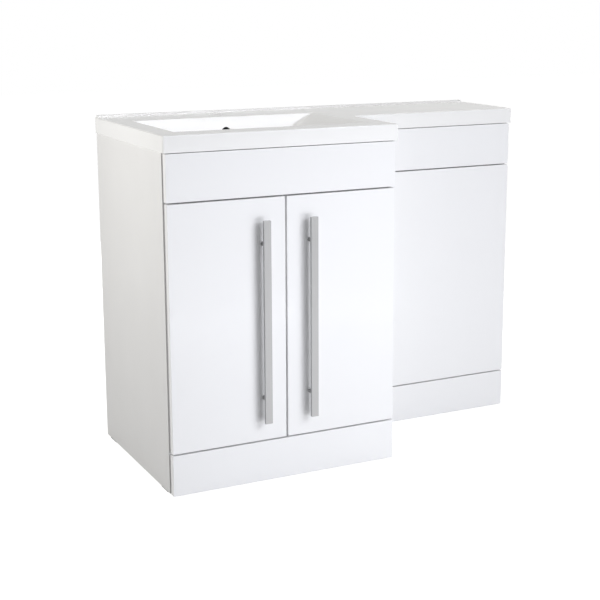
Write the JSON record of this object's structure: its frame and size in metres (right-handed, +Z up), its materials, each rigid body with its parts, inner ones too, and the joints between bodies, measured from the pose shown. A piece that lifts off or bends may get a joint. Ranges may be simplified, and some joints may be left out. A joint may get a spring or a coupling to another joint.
{
  "type": "L-shaped vanity and WC unit",
  "caption": "L-shaped bathroom unit: a deep vanity cupboard with doors and bar handles beside a shallow back-to-wall WC section, under one cast basin top.",
  "frame": {"origin": "the line where the wall meets the floor, at the middle of the unit's width", "axes": "+X to the viewer's right along the wall, +Y into the wall, +Z up; the doors face -Y and the basin is on the -X side"},
  "size_m": [1.1, 0.528, 0.855],
  "materials": {
    "cast_top": "gloss",
    "gloss_board": "gloss white lacquer",
    "white_board": "satin white",
    "satin_metal": "satin",
    "fitting_steel": "bright",
    "white_plastic": "gloss",
    "clear_plastic": "soft",
    "grey_plastic": "matt"
  },
  "bodies": {
    "unit": {"basin_top": "cast_top", "overflow_duct": "grey_plastic", "vanity_side_left": "white_board", "vanity_side_right": "white_board", "vanity_base": "white_board", "vanity_front_rail": "white_board", "vanity_rear_top_rail": "white_board", "vanity_rear_bottom_rail": "white_board", "vanity_shelf": "white_board", "shelf_pins": "fitting_steel", "vanity_fascia": "gloss_board", "fascia_spacers": "white_plastic", "fascia_screws": "fitting_steel", "vanity_plinth": "gloss_board", "plinth_brackets": "fitting_steel", "hinge_arms": "fitting_steel", "hinge_plates": "fitting_steel", "hinge_pins": "fitting_steel", "hinge_screws": "fitting_steel", "wc_side_left": "white_board", "wc_side_right": "white_board", "wc_top_rail": "white_board", "wc_mid_rail": "white_board", "wc_base_rail": "white_board", "wc_rear_rail": "white_board", "wc_upper_panel": "gloss_board", "wc_lower_panel": "gloss_board", "wc_plinth": "gloss_board", "panel_clips": "white_plastic", "wall_brackets": "fitting_steel", "joining_bolts": "fitting_steel", "glide_feet": "grey_plastic", "cam_fittings": "fitting_steel"},
    "left_door": {"door_left": "gloss_board", "handle_bar_left": "satin_metal", "handle_posts_left": "satin_metal", "handle_screws_left": "fitting_steel", "hinge_cups_left": "fitting_steel", "door_buffers_left": "clear_plastic"},
    "right_door": {"door_right": "gloss_board", "handle_bar_right": "satin_metal", "handle_posts_right": "satin_metal", "handle_screws_right": "fitting_steel", "hinge_cups_right": "fitting_steel", "door_buffers_right": "clear_plastic"},
    "left_links": {"hinge_links_left": "fitting_steel"},
    "right_links": {"hinge_links_right": "fitting_steel"}
  },
  "joints": [
    {"name": "left_door_swing", "type": "hinge", "parent": "unit", "child": "left_door", "pos_m": [-0.538, -0.492, 0.4], "axis": [0, 0, -1], "range_deg": [0, 100]},
    {"name": "right_door_swing", "type": "hinge", "parent": "unit", "child": "right_door", "pos_m": [0.04, -0.492, 0.4], "axis": [0, 0, 1], "range_deg": [0, 100]},
    {"name": "left_link_swing", "type": "hinge", "parent": "unit", "child": "left_links", "pos_m": [-0.502, -0.476, 0.4], "axis": [0, 0, 1], "range_deg": [0, 17.1]},
    {"name": "right_link_swing", "type": "hinge", "parent": "unit", "child": "right_links", "pos_m": [0.004, -0.476, 0.4], "axis": [0, 0, -1], "range_deg": [0, 17.1]}
  ],
  "couplings": [
    {"joint": "left_link_swing", "follows": "left_door_swing", "ratio": 0.17},
    {"joint": "right_link_swing", "follows": "right_door_swing", "ratio": 0.17}
  ]
}
